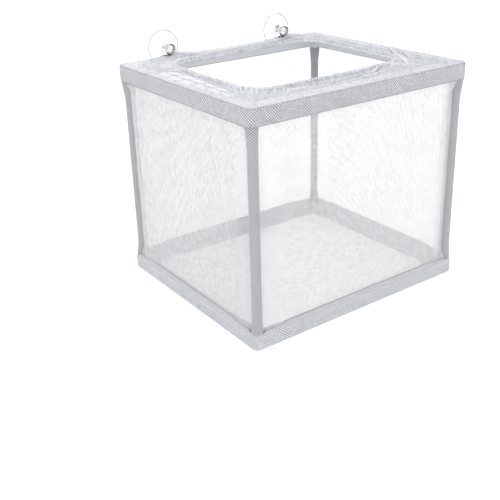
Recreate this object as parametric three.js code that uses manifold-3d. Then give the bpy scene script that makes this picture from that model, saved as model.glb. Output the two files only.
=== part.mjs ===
// A net breeding box for an aquarium: a plug-together frame of twelve rods and eight
// corner connectors, dressed in a sewn cover of net and woven tape with an elastic mouth,
// and two suction cups that hang it on the glass. Millimetres, +Z up, +Y towards the
// glass, origin at the centre of the base.
import * as THREE from 'three';
import { mergeVertices } from 'three/addons/utils/BufferGeometryUtils.js';
import Module from 'manifold-3d';

const wasm = await Module();
wasm.setup();

// Overall size of the cover
const coverLength = 160;
const coverWidth = 140;
const coverHeight = 138.5;
const cornerRadius = 4;

// Clearance between neighbouring pieces, and how far a cut runs past what it cuts
const fitGap = 0.3;
const overrun = 1;
const mergeDistance = 0.0003;

// Frame: rods pushed into three-way corner connectors
const rodDiameter = 4.2;
const hubBevel = 0.8;
const socketWall = 0.8;
const socketLength = 9;

// Cover: folded tape bands, tape sleeves on the uprights, and net
const tapeThickness = 0.7;
const bottomBandHeight = 10;
const topBandHeight = 10.3;
const foldRounding = 1.2;
const pinchHeight = 2.3;
const pinchRun = 4;
const innerFoldRadius = 0.4;
const sleeveWall = 0.5;
const sleeveTaper = 4;
const netThickness = 0.5;
const threadWidth = 1;
const netMargin = 1;
const netOverlap = 3;
const gapsAlongX = 8;
const gapsAlongY = 7;
const gapsAlongZ = 7;

// Flap over the top, its mouth, and the hem that holds the elastic
const flapThickness = 0.5;
const sideFlapWidth = 23;
const frontFlapWidth = 26.5;
const backFlapWidth = 18.5;
const mouthRadius = 13;
const elasticDiameter = 2;
const hemWall = 0.7;

// Clips on the back top rod and the suction cups that they hold
const cupSpacing = 90.8;
const cupAxisRise = 5.5;
const clipWall = 0.9;
const clipLength = 5;
const clipMouthAngle = 120;
const stemWidth = 3;
const plateThickness = 1.8;
const rockInDegrees = 4;
const rockOutDegrees = 12;
const cupDiameter = 22;
const cupRimThickness = 0.5;
const cupRimLand = 0.6;
const cupHollowDepth = 1.4;
const cupBaseRadius = 3.6;
const cupBaseReach = 3.1;
const cupEdgeGap = 0.45;
const cupBackShares = [0.6, 0.25];
const cupHollowShares = [0.5, 0.8];
const neckRadius = 2;
const neckLength = 2.4;
const headRadius = 3.3;
const headLength = 3.6;
const headDegrees = [-50, -15, 15, 50];
const glassStandOff = 2.3;
const shoulderStep = 0.6;

// How finely round shapes are faceted
const roundSides = 12;
const cupSides = 20;
const arcSteps = 4;
const hubArcSteps = 2;
const cordSides = 8;

// Places that follow from those sizes, as insets from the cover's outer faces
const rodRadius = rodDiameter / 2;
const boreRadius = rodRadius + fitGap;
const socketRadius = boreRadius + socketWall;
const hubInset = tapeThickness + fitGap;
const hubSize = 2 * (socketRadius + netThickness + fitGap);
const hubRounding = cornerRadius - hubInset;
const rodInset = hubInset + hubSize / 2;
const hubReach = hubInset + hubSize;
const casingDepth = hubReach + fitGap + tapeThickness;
const netInset = hubInset;
const pinchInset = netInset + netThickness + fitGap;
const cupReach = rodInset + glassStandOff;
const halfLength = coverLength / 2;
const halfWidth = coverWidth / 2;
const frameX = halfLength - rodInset;
const frameY = halfWidth - rodInset;
const bottomAxis = hubInset + hubSize / 2;
const flapUnderside = coverHeight - flapThickness;
const webTop = flapUnderside - fitGap;
const webUnderside = webTop - tapeThickness;
const topAxis = webUnderside - fitGap - hubSize / 2;
const topBandLow = coverHeight - topBandHeight;
const socketEnd = hubSize / 2 + socketLength;

// Turns a closed mesh into a solid for joining and cutting
function solid(geometry) {
  const bare = geometry.index ? geometry.toNonIndexed() : geometry.clone();
  for (const name of Object.keys(bare.attributes)) {
    if (name !== 'position') bare.deleteAttribute(name);
  }
  const merged = mergeVertices(bare, mergeDistance);
  const vertProperties = new Float32Array(merged.attributes.position.array);
  const triVerts = new Uint32Array(merged.index.array);
  return new wasm.Manifold(new wasm.Mesh({ numProp: 3, vertProperties, triVerts }));
}

// Turns a solid back into a geometry that a mesh can hold
function geometryOf(body) {
  const mesh = body.getMesh();
  const stride = mesh.numProp;
  const positions = [];
  for (let i = 0; i < mesh.vertProperties.length; i += stride) {
    positions.push(...mesh.vertProperties.slice(i, i + 3));
  }
  const geometry = new THREE.BufferGeometry();
  geometry.setAttribute('position', new THREE.Float32BufferAttribute(positions, 3));
  geometry.setIndex(Array.from(mesh.triVerts));
  geometry.computeVertexNormals();
  return geometry;
}

// A cylinder that starts at a point and runs along an axis direction
function rodAlong(radius, length, start, direction) {
  const geometry = new THREE.CylinderGeometry(radius, radius, length, roundSides);
  geometry.translate(0, length / 2, 0);
  const up = new THREE.Vector3(0, 1, 0);
  geometry.applyQuaternion(new THREE.Quaternion().setFromUnitVectors(up, direction));
  geometry.translate(start.x, start.y, start.z);
  return geometry;
}

// A box between two corners
function boxBetween(low, high) {
  const size = high.clone().sub(low);
  const geometry = new THREE.BoxGeometry(size.x, size.y, size.z);
  const middle = low.clone().add(high).multiplyScalar(0.5);
  geometry.translate(middle.x, middle.y, middle.z);
  return geometry;
}

// Draws a rounded rectangle into a shape or a hole
function roundedRectangle(path, centreX, centreY, halfX, halfY, radius) {
  path.absarc(centreX + halfX - radius, centreY + halfY - radius, radius, 0, Math.PI / 2);
  path.absarc(centreX - halfX + radius, centreY + halfY - radius, radius, Math.PI / 2, Math.PI);
  path.absarc(centreX - halfX + radius, centreY - halfY + radius, radius, Math.PI, Math.PI * 1.5);
  path.absarc(centreX + halfX - radius, centreY - halfY + radius, radius, Math.PI * 1.5, Math.PI * 2);
  path.closePath();
  return path;
}

// Draws a plain rectangle between two corners into a shape or a hole
function rectangle(path, lowX, lowY, highX, highY) {
  path.moveTo(lowX, lowY);
  path.lineTo(highX, lowY);
  path.lineTo(highX, highY);
  path.lineTo(lowX, highY);
  path.closePath();
  return path;
}

// A closed ring round a rounded rectangle. A profile is a list of [inset, z] points that
// runs up the outside and down the inside. Each run is [distance from the corner, profile]
// and adds a station on both sides of every corner.
function ring({ halfX, halfY, radius, centreY = 0, leastRadius = 0, profile, runs = [] }) {
  const stations = [];
  for (let corner = 0; corner < 4; corner += 1) {
    const turn = (corner * Math.PI) / 2;
    const [halfU, halfV] = corner % 2 === 0 ? [halfX, halfY] : [halfY, halfX];
    const place = (u, v, z) => new THREE.Vector3(
      u * Math.round(Math.cos(turn)) - v * Math.round(Math.sin(turn)),
      u * Math.round(Math.sin(turn)) + v * Math.round(Math.cos(turn)) + centreY,
      z,
    );
    for (const [distance, points] of [...runs].reverse()) {
      stations.push(points.map(([inset, z]) => place(halfU - inset, halfV - distance, z)));
    }
    for (let step = 0; step <= arcSteps; step += 1) {
      const angle = (step / arcSteps) * (Math.PI / 2);
      stations.push(profile.map(([inset, z]) => {
        const bend = Math.max(radius - inset, leastRadius);
        const u = halfU - inset - bend + bend * Math.cos(angle);
        const v = halfV - inset - bend + bend * Math.sin(angle);
        return place(u, v, z);
      }));
    }
    for (const [distance, points] of runs) {
      stations.push(points.map(([inset, z]) => place(halfU - distance, halfV - inset, z)));
    }
  }
  const positions = stations.flat().flatMap((point) => point.toArray());
  const across = profile.length;
  const triangles = [];
  for (let i = 0; i < stations.length; i += 1) {
    for (let j = 0; j < across; j += 1) {
      const a = i * across + j;
      const b = i * across + ((j + 1) % across);
      const c = ((i + 1) % stations.length) * across + j;
      const d = ((i + 1) % stations.length) * across + ((j + 1) % across);
      triangles.push(a, c, b, b, c, d);
    }
  }
  const geometry = new THREE.BufferGeometry();
  geometry.setAttribute('position', new THREE.Float32BufferAttribute(positions, 3));
  geometry.setIndex(triangles);
  geometry.computeVertexNormals();
  return geometry;
}

// Corner connector: a rounded hub with a blind socket along each of its three arms
function connectorGeometry(arms) {
  const half = hubSize / 2;
  const plan = new THREE.Shape();
  const core = half - hubBevel;
  roundedRectangle(plan, 0, 0, core, core, hubRounding - hubBevel);
  const hub = new THREE.ExtrudeGeometry(plan, {
    depth: hubSize - 2 * hubBevel,
    bevelThickness: hubBevel,
    bevelSize: hubBevel,
    bevelSegments: 1,
    curveSegments: hubArcSteps,
  });
  hub.translate(0, 0, hubBevel - half);
  let body = solid(hub);
  const centre = new THREE.Vector3();
  for (const arm of arms) {
    body = body.add(solid(rodAlong(socketRadius, socketEnd, centre, arm)));
  }
  for (const arm of arms) {
    const floor = arm.clone().multiplyScalar(half);
    body = body.subtract(solid(rodAlong(boreRadius, socketLength + overrun, floor, arm)));
  }
  return geometryOf(body);
}

// Tape sleeve: a tube that hugs the rod and flares over the socket at each end
function sleeveGeometry(low, high) {
  const flare = socketRadius + fitGap;
  const lowFlare = bottomAxis + socketEnd + fitGap;
  const highFlare = topAxis - socketEnd - fitGap;
  const bore = [
    [flare, low],
    [flare, lowFlare],
    [boreRadius, lowFlare + sleeveTaper],
    [boreRadius, highFlare - sleeveTaper],
    [flare, highFlare],
    [flare, high],
  ];
  const skin = bore.map(([radius, z]) => [radius + sleeveWall, z]).reverse();
  const loop = [...bore, ...skin, bore[0]].reverse();
  const points = loop.map(([radius, z]) => new THREE.Vector2(radius, z));
  const geometry = new THREE.LatheGeometry(points, roundSides);
  geometry.rotateX(Math.PI / 2);
  return geometry;
}

// Section of a folded tape band, as [inset, height above the fold]. Over a connector the
// inner leg hangs straight, and between them it turns in to pinch the net.
function bandSection(height, lip, pinched) {
  const foot = pinched ? pinchInset : casingDepth - tapeThickness;
  const outside = lip > 0
    ? [[0, height], [0, -lip], [tapeThickness, -lip], [tapeThickness, 0]]
    : [[0, height], [0, foldRounding], [foldRounding, 0]];
  const inside = lip > 0
    ? [[tapeThickness, tapeThickness]]
    : [[foldRounding, tapeThickness], [tapeThickness, foldRounding]];
  return [
    ...outside,
    [casingDepth, 0],
    [casingDepth, height - pinchHeight],
    [foot + tapeThickness, height],
    [foot, height],
    [casingDepth - tapeThickness, height - pinchHeight],
    [casingDepth - tapeThickness, tapeThickness],
    ...inside,
    [tapeThickness, height],
  ];
}

// A folded tape band all round the cover, from its fold in the direction given
function bandGeometry(fold, direction, height, lip) {
  const placed = (pinched) => {
    const section = bandSection(height, lip, pinched);
    const points = section.map(([inset, rise]) => [inset, fold + direction * rise]);
    return direction > 0 ? points.reverse() : points;
  };
  const straight = rodInset + socketEnd + fitGap;
  return ring({
    halfX: halfLength,
    halfY: halfWidth,
    radius: cornerRadius,
    leastRadius: innerFoldRadius,
    profile: placed(false),
    runs: [[straight, placed(false)], [straight + pinchRun, placed(true)]],
  });
}

// Cuts the square gaps between the threads out of a net that lies in X and Y
function cutGaps(sheet, halfU, lowV, highV, countU, countV) {
  const pitchU = (2 * halfU) / countU;
  const pitchV = (highV - lowV) / countV;
  let net = solid(sheet);
  for (let i = 0; i < countU; i += 1) {
    for (let j = 0; j < countV; j += 1) {
      const u = -halfU + i * pitchU;
      const v = lowV + j * pitchV;
      const low = new THREE.Vector3(u + threadWidth / 2, v + threadWidth / 2, -overrun);
      const high = new THREE.Vector3(u + pitchU - threadWidth / 2, v + pitchV - threadWidth / 2, overrun);
      net = net.subtract(solid(boxBetween(low, high)));
    }
  }
  return geometryOf(net);
}

// Upright net panel between two sleeves, drawn in its own plane and as thick as the net.
// It is notched at the corners to pass the flared ends of the sleeves.
function sidePanelGeometry(halfSpan, frameHalf, countU) {
  const narrow = halfSpan - hubReach - fitGap;
  const low = bottomBandHeight - netOverlap;
  const high = topBandLow + netOverlap;
  const lowFlare = bottomAxis + socketEnd + fitGap;
  const highFlare = topAxis - socketEnd - fitGap;
  const half = [
    [narrow, low],
    [narrow, lowFlare],
    [frameHalf, lowFlare + sleeveTaper],
    [frameHalf, highFlare - sleeveTaper],
    [narrow, highFlare],
    [narrow, high],
  ];
  const mirrored = half.map(([u, v]) => [-u, v]).reverse();
  const outline = new THREE.Shape([...half, ...mirrored].map(([u, v]) => new THREE.Vector2(u, v)));
  const sheet = new THREE.ExtrudeGeometry(outline, { depth: netThickness, bevelEnabled: false });
  const gridLow = bottomBandHeight + netMargin;
  const gridHigh = topBandLow - netMargin;
  const net = cutGaps(sheet, narrow - netMargin, gridLow, gridHigh, countU, gapsAlongZ);
  net.rotateX(Math.PI / 2);
  return net;
}

// Floor net, sewn inside the fold of the bottom band
function floorGeometry() {
  const halfX = halfLength - casingDepth - fitGap;
  const halfY = halfWidth - casingDepth - fitGap;
  const outline = rectangle(new THREE.Shape(), -halfX, -halfY, halfX, halfY);
  const sheet = new THREE.ExtrudeGeometry(outline, { depth: netThickness, bevelEnabled: false });
  return cutGaps(sheet, halfX - netMargin, netMargin - halfY, halfY - netMargin, gapsAlongX, gapsAlongY);
}

// Where a clip's stem passes up through the cover, with room for it to rock
const stemRise = coverHeight - topAxis;
const slitHalf = stemWidth / 2 + 2 * fitGap;
function slitReach(degrees) {
  const swing = stemRise * Math.sin(THREE.MathUtils.degToRad(degrees));
  return plateThickness / 2 + swing + fitGap;
}
const slitBack = slitReach(rockOutDegrees);
const slitFront = slitReach(rockInDegrees);
const cupPlaces = [-cupSpacing / 2, cupSpacing / 2];

// Cuts a slit for each clip through a sheet between two heights
function cutSlits(sheet, underside, top) {
  let body = solid(sheet);
  for (const x of cupPlaces) {
    const low = new THREE.Vector3(x - slitHalf, frameY - slitFront, underside - overrun);
    const high = new THREE.Vector3(x + slitHalf, frameY + slitBack, top + overrun);
    body = body.subtract(solid(boxBetween(low, high)));
  }
  return geometryOf(body);
}

// Top flap: net drawn over the top, with its mouth and the two slits for the clips
const flapInset = tapeThickness + fitGap;
const mouthHalfX = halfLength - sideFlapWidth;
const mouthHalfY = halfWidth - (frontFlapWidth + backFlapWidth) / 2;
const mouthShift = (frontFlapWidth - backFlapWidth) / 2;
const hemBore = elasticDiameter / 2 + fitGap;
const hemRadius = hemBore + hemWall;
const hemToFlapEdge = hemRadius + hemBore;

function flapGeometry() {
  const outline = new THREE.Shape();
  const outerRadius = cornerRadius - flapInset;
  roundedRectangle(outline, 0, 0, halfLength - flapInset, halfWidth - flapInset, outerRadius);
  const mouth = new THREE.Path();
  const mouthX = mouthHalfX + hemToFlapEdge;
  const mouthY = mouthHalfY + hemToFlapEdge;
  roundedRectangle(mouth, 0, mouthShift, mouthX, mouthY, mouthRadius + hemToFlapEdge);
  outline.holes.push(mouth);
  const sheet = new THREE.ExtrudeGeometry(outline, {
    depth: flapThickness,
    bevelEnabled: false,
    curveSegments: arcSteps,
  });
  sheet.translate(0, 0, flapUnderside);
  return cutSlits(sheet, flapUnderside, coverHeight);
}

// Section of the hem: a C round the elastic that takes the flap's edge in its mouth
function hemSection(height) {
  const lipRise = flapThickness / 2 + fitGap;
  const outerStart = Math.asin(lipRise / hemRadius);
  const innerStart = Math.asin(lipRise / hemBore);
  const points = [];
  const arc = (radius, start, end) => {
    for (let step = 0; step <= cordSides; step += 1) {
      const angle = start + ((end - start) * step) / cordSides;
      points.push([-radius * Math.cos(angle), height + radius * Math.sin(angle)]);
    }
  };
  arc(hemRadius, outerStart, 2 * Math.PI - outerStart);
  arc(hemBore, 2 * Math.PI - innerStart, innerStart);
  return points;
}

// Section of the elastic cord
function elasticSection(height) {
  const points = [];
  for (let step = 0; step < cordSides; step += 1) {
    const angle = (step / cordSides) * 2 * Math.PI;
    const radius = elasticDiameter / 2;
    points.push([-radius * Math.cos(angle), height + radius * Math.sin(angle)]);
  }
  return points;
}

function mouthRing(section) {
  return ring({
    halfX: mouthHalfX + hemRadius,
    halfY: mouthHalfY + hemRadius,
    radius: mouthRadius + hemRadius,
    centreY: mouthShift,
    profile: section(flapUnderside + flapThickness / 2),
  });
}

// Clip: a snap ring on the rod, a stem up through the cover, and an eye for the cup's
// neck. Its origin is on the rod's axis.
const eyeBore = neckRadius + fitGap;
const eyeRadius = eyeBore + clipWall;
const eyeHeight = coverHeight + cupAxisRise - topAxis;

function clipGeometry() {
  const snapBore = rodRadius + fitGap;
  const snapRadius = snapBore + clipWall;
  const halfMouth = THREE.MathUtils.degToRad(clipMouthAngle / 2);
  const start = -Math.PI / 2 + halfMouth;
  const end = Math.PI * 1.5 - halfMouth;
  const hook = new THREE.Shape();
  hook.absarc(0, 0, snapRadius, start, end, false);
  hook.absarc(0, 0, snapBore, end, start, true);
  const snap = new THREE.ExtrudeGeometry(hook, {
    depth: clipLength,
    bevelEnabled: false,
    curveSegments: roundSides,
  });
  snap.translate(0, 0, -clipLength / 2);
  snap.rotateY(Math.PI / 2);
  snap.rotateX(Math.PI / 2);
  const disc = new THREE.Shape();
  disc.absarc(0, eyeHeight, eyeRadius, 0, Math.PI * 2);
  const hole = new THREE.Path();
  hole.absarc(0, eyeHeight, eyeBore, 0, Math.PI * 2);
  disc.holes.push(hole);
  const eye = new THREE.ExtrudeGeometry(disc, {
    depth: plateThickness,
    bevelEnabled: false,
    curveSegments: roundSides / 2,
  });
  eye.rotateX(Math.PI / 2);
  eye.translate(0, plateThickness / 2, 0);
  const stemLow = snapBore + clipWall / 2;
  const stemHigh = eyeHeight - eyeBore - clipWall / 2;
  const stem = boxBetween(
    new THREE.Vector3(-stemWidth / 2, -plateThickness / 2, stemLow),
    new THREE.Vector3(stemWidth / 2, plateThickness / 2, stemHigh),
  );
  return geometryOf(solid(snap).add(solid(stem)).add(solid(eye)));
}

// Suction cup, turned about its own axis: [radius, distance from the glass]. Its dished
// back is steep enough to clear the cover's top edge by the edge gap.
function cupGeometry() {
  const rim = cupDiameter / 2;
  const land = rim - cupRimLand;
  const neckStart = cupReach - neckLength / 2;
  const neckEnd = cupReach + neckLength / 2;
  const headEnd = neckEnd + headLength;
  const edgeShare = (cupAxisRise - cupBaseRadius) / (rim - cupBaseRadius);
  const heightShare = (glassStandOff - cupEdgeGap - cupRimThickness) / (cupBaseReach - cupRimThickness);
  const steepness = Math.log(heightShare) / Math.log(1 - edgeShare);
  const back = (share) => [
    cupBaseRadius + (rim - cupBaseRadius) * share,
    cupRimThickness + (cupBaseReach - cupRimThickness) * (1 - share) ** steepness,
  ];
  const hollow = (share) => [land * share, cupHollowDepth * (1 - share ** 2)];
  const head = (degrees) => {
    const angle = THREE.MathUtils.degToRad(degrees);
    const depth = headLength / 2;
    return [headRadius * Math.cos(angle), neckEnd + depth + depth * Math.sin(angle)];
  };
  const outline = [
    [0, cupHollowDepth],
    ...cupHollowShares.map(hollow),
    [land, 0],
    [rim, 0],
    [rim, cupRimThickness],
    ...cupBackShares.map(back),
    [cupBaseRadius, cupBaseReach],
    [cupBaseRadius - shoulderStep, neckStart],
    [neckRadius, neckStart],
    [neckRadius, neckEnd],
    ...headDegrees.map(head),
    [0, headEnd],
  ];
  const points = outline.map(([radius, reach]) => new THREE.Vector2(radius, reach));
  const geometry = new THREE.LatheGeometry(points, cupSides);
  geometry.rotateX(Math.PI);
  return geometry;
}

// Finishes
const connectorPlastic = new THREE.MeshStandardMaterial({ color: '#eef0f2', roughness: 0.4 });
const rodPlastic = new THREE.MeshStandardMaterial({ color: '#e9ecee', roughness: 0.35 });
const wovenTape = new THREE.MeshStandardMaterial({ color: '#c6c9ce', roughness: 0.85 });
const finelyKnittedNet = new THREE.MeshStandardMaterial({ color: '#f4f5f6', roughness: 0.9 });
const hemCloth = new THREE.MeshStandardMaterial({ color: '#dcdee2', roughness: 0.9 });
const elasticRubber = new THREE.MeshStandardMaterial({ color: '#f2f2f0', roughness: 0.8 });
const clipPlastic = new THREE.MeshStandardMaterial({ color: '#d5d8db', roughness: 0.35 });
const clearVinyl = new THREE.MeshStandardMaterial({ color: '#f3f6f7', roughness: 0.12 });

const box = new THREE.Group();

function place(name, geometry, material, x = 0, y = 0, z = 0) {
  const mesh = new THREE.Mesh(geometry, material);
  mesh.name = name;
  mesh.position.set(x, y, z);
  box.add(mesh);
  return mesh;
}

const levels = [['bottom', bottomAxis, 1], ['top', topAxis, -1]];
const sides = [['left', -1], ['right', 1]];
const ends = [['front', -1], ['back', 1]];

// Corner connectors, each with its arms pointing along the three rods that meet there
for (const [level, height, inwards] of levels) {
  for (const [end, alongY] of ends) {
    for (const [side, alongX] of sides) {
      const arms = [
        new THREE.Vector3(-alongX, 0, 0),
        new THREE.Vector3(0, -alongY, 0),
        new THREE.Vector3(0, 0, inwards),
      ];
      const name = `connector_${level}_${end}_${side}`;
      place(name, connectorGeometry(arms), connectorPlastic, alongX * frameX, alongY * frameY, height);
    }
  }
}

// Rods, each ending just short of the floor of its sockets
const rodTrim = hubSize / 2 + fitGap;
const rodAlongX = new THREE.CylinderGeometry(rodRadius, rodRadius, 2 * (frameX - rodTrim), roundSides);
rodAlongX.rotateZ(Math.PI / 2);
const rodAlongY = new THREE.CylinderGeometry(rodRadius, rodRadius, 2 * (frameY - rodTrim), roundSides);
const uprightLength = topAxis - bottomAxis - 2 * rodTrim;
const rodAlongZ = new THREE.CylinderGeometry(rodRadius, rodRadius, uprightLength, roundSides);
rodAlongZ.rotateX(Math.PI / 2);
for (const [level, height] of levels) {
  for (const [end, alongY] of ends) {
    place(`rod_${level}_${end}`, rodAlongX, rodPlastic, 0, alongY * frameY, height);
  }
  for (const [side, alongX] of sides) {
    place(`rod_${level}_${side}`, rodAlongY, rodPlastic, alongX * frameX, 0, height);
  }
}
const sleeve = sleeveGeometry(bottomAxis + rodTrim, topAxis - rodTrim);
for (const [end, alongY] of ends) {
  for (const [side, alongX] of sides) {
    const middle = (topAxis + bottomAxis) / 2;
    place(`rod_upright_${end}_${side}`, rodAlongZ, rodPlastic, alongX * frameX, alongY * frameY, middle);
    place(`sleeve_${end}_${side}`, sleeve, wovenTape, alongX * frameX, alongY * frameY);
  }
}

// Bands of folded tape round the base and the top. The top one is slit for the clips.
place('bottom_band', bandGeometry(0, 1, bottomBandHeight, 0), wovenTape);
const lip = coverHeight - webTop;
const topBand = bandGeometry(webTop, -1, topBandHeight - lip, lip);
place('top_band', cutSlits(topBand, webUnderside, webTop), wovenTape);

// Net panels, pinched in the bands, and the floor
const panelAlongX = sidePanelGeometry(halfLength, frameX, gapsAlongX);
const panelAlongY = sidePanelGeometry(halfWidth, frameY, gapsAlongY);
place('net_front', panelAlongX, finelyKnittedNet, 0, netInset + netThickness - halfWidth, 0);
place('net_back', panelAlongX, finelyKnittedNet, 0, halfWidth - netInset, 0);
for (const [side, alongX] of sides) {
  const panel = place(`net_${side}`, panelAlongY, finelyKnittedNet, alongX * (halfLength - netInset));
  panel.rotation.z = (-alongX * Math.PI) / 2;
}
place('net_floor', floorGeometry(), finelyKnittedNet, 0, 0, fitGap);

// Flap, hem and elastic
place('top_flap', flapGeometry(), finelyKnittedNet);
place('mouth_hem', mouthRing(hemSection), hemCloth);
place('mouth_elastic', mouthRing(elasticSection), elasticRubber);

// Clips and suction cups on the back top rod
const clip = clipGeometry();
const cup = cupGeometry();
for (const [index, [side]] of sides.entries()) {
  const x = cupPlaces[index];
  place(`clip_${side}`, clip, clipPlastic, x, frameY, topAxis);
  place(`suction_cup_${side}`, cup, clearVinyl, x, frameY + cupReach, coverHeight + cupAxisRise);
}

export default box;
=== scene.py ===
# A net breeding box for an aquarium: folded tape bands and sleeves over a rod frame, net
# panels between them, a gathered net flap round an elastic mouth, and two clear suction cups.
import math

import bpy
import numpy as np
from mathutils import Matrix, Vector


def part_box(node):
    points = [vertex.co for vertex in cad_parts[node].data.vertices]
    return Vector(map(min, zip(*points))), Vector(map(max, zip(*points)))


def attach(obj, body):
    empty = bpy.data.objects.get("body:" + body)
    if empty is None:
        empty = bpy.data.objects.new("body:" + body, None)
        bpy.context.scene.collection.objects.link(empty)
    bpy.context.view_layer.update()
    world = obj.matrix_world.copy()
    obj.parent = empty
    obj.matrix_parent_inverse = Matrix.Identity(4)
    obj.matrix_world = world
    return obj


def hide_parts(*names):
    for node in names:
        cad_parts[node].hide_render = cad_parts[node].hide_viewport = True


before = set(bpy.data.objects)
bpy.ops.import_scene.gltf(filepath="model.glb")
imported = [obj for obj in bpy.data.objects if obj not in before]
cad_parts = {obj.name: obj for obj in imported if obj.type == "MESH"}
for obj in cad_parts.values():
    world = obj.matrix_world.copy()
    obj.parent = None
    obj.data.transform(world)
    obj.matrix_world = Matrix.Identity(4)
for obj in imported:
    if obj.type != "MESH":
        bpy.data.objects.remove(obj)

MM = 0.001
TURN = 2 * math.pi
QUARTER = math.pi / 2
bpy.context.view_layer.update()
ROOT = "frame_and_cover"

# Sizes of the cover, read from the frame
_, band_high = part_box("bottom_band")
top_low, top_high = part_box("top_band")
HALF_X = band_high.x
HALF_Y = band_high.y
BOTTOM_HEIGHT = band_high.z
TOP_UNDER = top_low.z
TOP = top_high.z
rod_low, rod_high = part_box("rod_top_back")
ROD_RADIUS = (rod_high.z - rod_low.z) / 2
TOP_AXIS = (rod_high.z + rod_low.z) / 2
FRAME_Y = (rod_high.y + rod_low.y) / 2
ROD_INSET = HALF_Y - FRAME_Y
FRAME_X = HALF_X - ROD_INSET
rod_low, rod_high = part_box("rod_bottom_back")
BOTTOM_AXIS = (rod_high.z + rod_low.z) / 2
hem_low, hem_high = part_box("mouth_hem")
MOUTH_SHIFT = (hem_low.y + hem_high.y) / 2
HEM_Z = (hem_low.z + hem_high.z) / 2
clip_low, clip_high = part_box("clip_right")
CLIP_X = (clip_low.x + clip_high.x) / 2
cup_low, cup_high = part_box("suction_cup_right")
CUP_Z = (cup_low.z + cup_high.z) / 2
CUP_RADIUS = (cup_high.x - cup_low.x) / 2
GLASS_Y = cup_high.y

# Sizes of the cloth. The weaves are the sizes of a diamond, in millimetres.
CORNER_RADIUS = 4 * MM
TAPE = 0.6 * MM
CASING = 9.8 * MM
NET_INSET = 1.3 * MM
THREAD = 0.4 * MM
NET_CELL = 1.7 * MM
NET_CELL_RISE = 1.5 * MM
HEM_RADIUS = 1.3 * MM
FLAP_NET = 0.3 * MM
BAND_WEAVE = 1.65
SLEEVE_WEAVE = 1.55
FLAP_WEAVE = (1.5, 3.0)

# How finely the meshes are divided, and what they need to stay sound
STATION = 1.2 * MM
CORNER_STATIONS = 8
WAVES = 7
TINY = 1e-9
TIGHTEST_BEND = 0.4 * MM
SHARP_ANGLE = math.radians(38)


# Small tools

def linear(text):
    """The linear colour of an sRGB hex value, such as #c8cacd."""
    values = [int(text[i:i + 2], 16) / 255 for i in (1, 3, 5)]
    bent = [v / 12.92 if v <= 0.04045 else ((v + 0.055) / 1.055) ** 2.4 for v in values]
    return (*bent, 1)


def smooth(low, high, x):
    """0 at low, 1 at high and an even S between, whichever of the two is the larger."""
    t = np.clip((x - low) / (high - low), 0, 1)
    return t * t * (3 - 2 * t)


def hump(x, width):
    """1 at zero, falling away evenly over about width on either side."""
    return np.exp(-((x / width) ** 2))


def wander(seed, size, *along):
    """Seeded unevenness of about -1 to 1, whose waves are about as long as size."""
    rng = np.random.default_rng(seed)
    total = 0
    for _ in range(WAVES):
        aim = rng.normal(size=len(along))
        aim = aim / np.linalg.norm(aim)
        length = size * rng.uniform(0.6, 1.7)
        path = sum(a * x for a, x in zip(aim, along))
        total = total + np.sin(path * TURN / length + rng.uniform(0, TURN))
    return total / math.sqrt(WAVES * 2)


def ring_faces(rows, columns, close_rows=False, close_columns=False):
    """Quads over a grid of points, stored row by row."""
    last_row = rows if close_rows else rows - 1
    last_column = columns if close_columns else columns - 1
    i, j = np.meshgrid(np.arange(last_row), np.arange(last_column), indexing="ij")
    next_i = (i + 1) % rows
    next_j = (j + 1) % columns
    quads = [i * columns + j, next_i * columns + j, next_i * columns + next_j, i * columns + next_j]
    return np.stack(quads, -1).reshape(-1, 4)


def make_piece(name, points, faces, material, uv=None, around=None, marks=None, shade=True):
    """A mesh object from points in metres. uv holds one pair, in millimetres, for each point,
    and around is how far the cloth runs, in millimetres, before it meets itself again. marks
    are named values for each point, which the materials read."""
    mesh = bpy.data.meshes.new(name)
    mesh.from_pydata(np.asarray(points).tolist(), [], [list(map(int, face)) for face in faces])
    if uv is not None:
        layer = mesh.uv_layers.new(name="cloth")
        corners = np.zeros(len(mesh.loops), np.int32)
        mesh.loops.foreach_get("vertex_index", corners)
        spread = np.asarray(uv, np.float32)[corners]
        if around:
            quads = spread.reshape(-1, 4, 2)
            far = quads[..., 0].max(1) - quads[..., 0].min(1) > around / 2
            quads[..., 0] += around * (far[:, None] & (quads[..., 0] < around / 2))
        layer.data.foreach_set("uv", spread.ravel())
    for mark, values in (marks or {}).items():
        attribute = mesh.attributes.new(mark, "FLOAT", "POINT")
        attribute.data.foreach_set("value", np.asarray(values, np.float32).ravel())
    mesh.polygons.foreach_set("use_smooth", [shade] * len(mesh.polygons))
    mesh.update()
    made = bpy.data.objects.new(name, mesh)
    bpy.context.scene.collection.objects.link(made)
    made.data.materials.append(material)
    return made


def settle(piece):
    """Applies the piece's modifiers to its mesh."""
    bpy.context.view_layer.update()
    shown = piece.evaluated_get(bpy.context.evaluated_depsgraph_get())
    mesh = bpy.data.meshes.new_from_object(shown)
    piece.modifiers.clear()
    piece.data = mesh


def thicken(piece, thickness):
    """Gives a sheet its thickness, half of it on either side."""
    solid = piece.modifiers.new("thickness", "SOLIDIFY")
    solid.thickness = thickness
    solid.offset = 0.0
    settle(piece)


def join_solids(name, parts, material):
    """One clean solid from several that overlap."""
    first = parts[0]
    for other in parts[1:]:
        cut = first.modifiers.new("union", "BOOLEAN")
        cut.operation = "UNION"
        cut.solver = "EXACT"
        cut.object = other
    settle(first)
    for other in parts[1:]:
        bpy.data.objects.remove(other)
    first.name = name
    first.data.materials.clear()
    first.data.materials.append(material)
    first.data.polygons.foreach_set("use_smooth", [True] * len(first.data.polygons))
    first.data.set_sharp_from_angle(angle=SHARP_ANGLE)
    return first


def fit(piece, slot, *nodes, body=ROOT):
    """Puts a piece on its body, in place of the nodes that it stands for."""
    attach(piece, body)
    if nodes:
        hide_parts(*nodes)
    return piece


# Materials

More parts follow.
